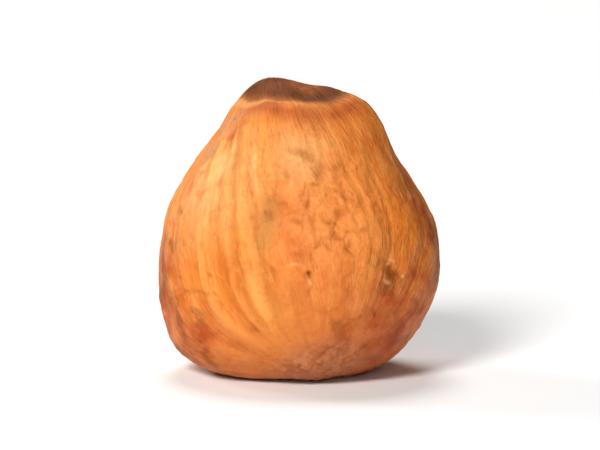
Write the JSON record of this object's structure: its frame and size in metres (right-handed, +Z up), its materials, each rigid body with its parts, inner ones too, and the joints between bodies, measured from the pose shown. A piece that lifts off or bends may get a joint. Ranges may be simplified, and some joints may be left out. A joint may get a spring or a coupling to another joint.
{
  "type": "hazelnut",
  "caption": "Shelled hazelnut kernel in its thin brown skin: a plump rounded drop with a blunt tip, fine ridges from base to tip and a flattened base it stands on.",
  "frame": {"origin": "on the surface the kernel stands on, below the middle of its bounding box", "axes": "+Z up from the flattened base to the blunt tip; -Y is the side seen first in the picture; +X is to the right of it"},
  "size_m": [0.015, 0.0144, 0.0157],
  "materials": {
    "skin": "matte papery skin, slightly waxy on its ridges"
  },
  "bodies": {
    "root": {"kernel": "skin"}
  },
  "joints": []
}
